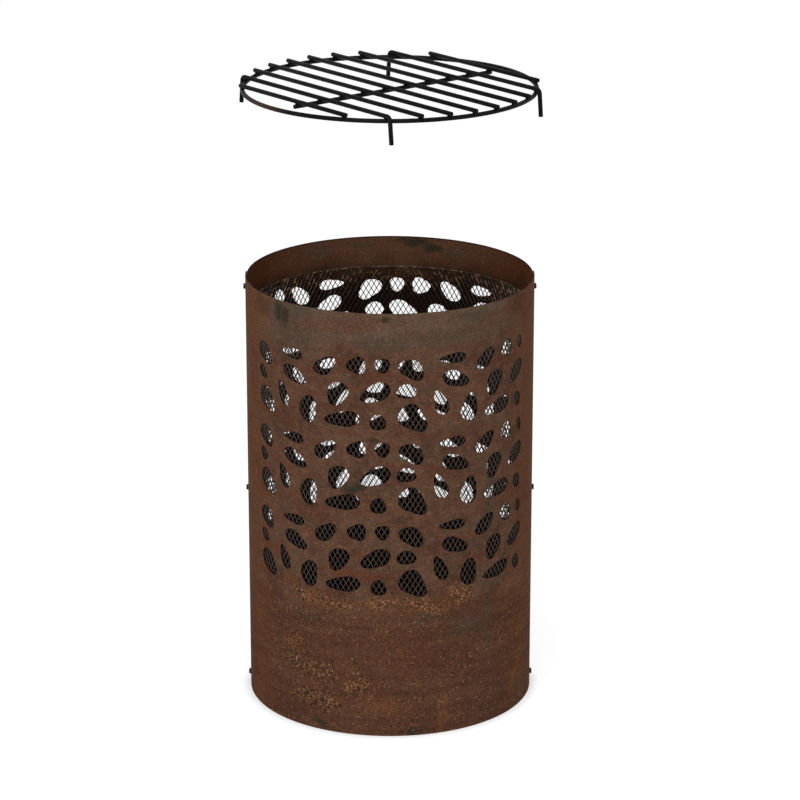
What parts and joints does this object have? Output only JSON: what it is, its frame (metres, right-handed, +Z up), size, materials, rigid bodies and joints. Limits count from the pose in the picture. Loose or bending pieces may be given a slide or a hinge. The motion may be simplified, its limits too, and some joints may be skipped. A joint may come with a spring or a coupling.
{
  "type": "barrel fire pit with grill grate",
  "caption": "Barrel-shaped steel fire pit with pebble-shaped openings, mesh liner, ash pan and a lift-off round grill grate.",
  "frame": {"origin": "on the ground at the middle of the barrel", "axes": "+Z up along the barrel's axis, front towards -Y, the two lapped seams at -X and +X"},
  "size_m": [0.4082, 0.4182, 0.8676],
  "materials": {
    "weathering_steel": "matt brown rusted steel sheet",
    "expanded_metal": "dull browned steel mesh",
    "blackened_steel": "black oxide steel",
    "black_heatproof_paint": "satin black heatproof paint on steel rod"
  },
  "bodies": {
    "barrel": {"front_shell": "weathering_steel", "rear_shell": "weathering_steel", "base_pan": "weathering_steel", "front_liner": "expanded_metal", "rear_liner": "expanded_metal", "screw_left_low": "blackened_steel", "screw_left_middle": "blackened_steel", "screw_left_high": "blackened_steel", "screw_right_low": "blackened_steel", "screw_right_middle": "blackened_steel", "screw_right_high": "blackened_steel", "washer_left_low": "blackened_steel", "washer_left_middle": "blackened_steel", "washer_left_high": "blackened_steel", "washer_right_low": "blackened_steel", "washer_right_middle": "blackened_steel", "washer_right_high": "blackened_steel", "nut_left_low": "blackened_steel", "nut_left_middle": "blackened_steel", "nut_left_high": "blackened_steel", "nut_right_low": "blackened_steel", "nut_right_middle": "blackened_steel", "nut_right_high": "blackened_steel"},
    "grate": {"grate_ring": "black_heatproof_paint", "grate_bar_01": "black_heatproof_paint", "grate_bar_02": "black_heatproof_paint", "grate_bar_03": "black_heatproof_paint", "grate_bar_04": "black_heatproof_paint", "grate_bar_05": "black_heatproof_paint", "grate_bar_06": "black_heatproof_paint", "grate_bar_07": "black_heatproof_paint", "grate_bar_08": "black_heatproof_paint", "grate_bar_09": "black_heatproof_paint", "grate_bar_10": "black_heatproof_paint", "grate_cross_bar": "black_heatproof_paint"}
  },
  "joints": [
    {"name": "grate_lift", "type": "slide", "parent": "barrel", "child": "grate", "axis": [0, 0, 1], "range_m": [-0.255, 0]}
  ]
}
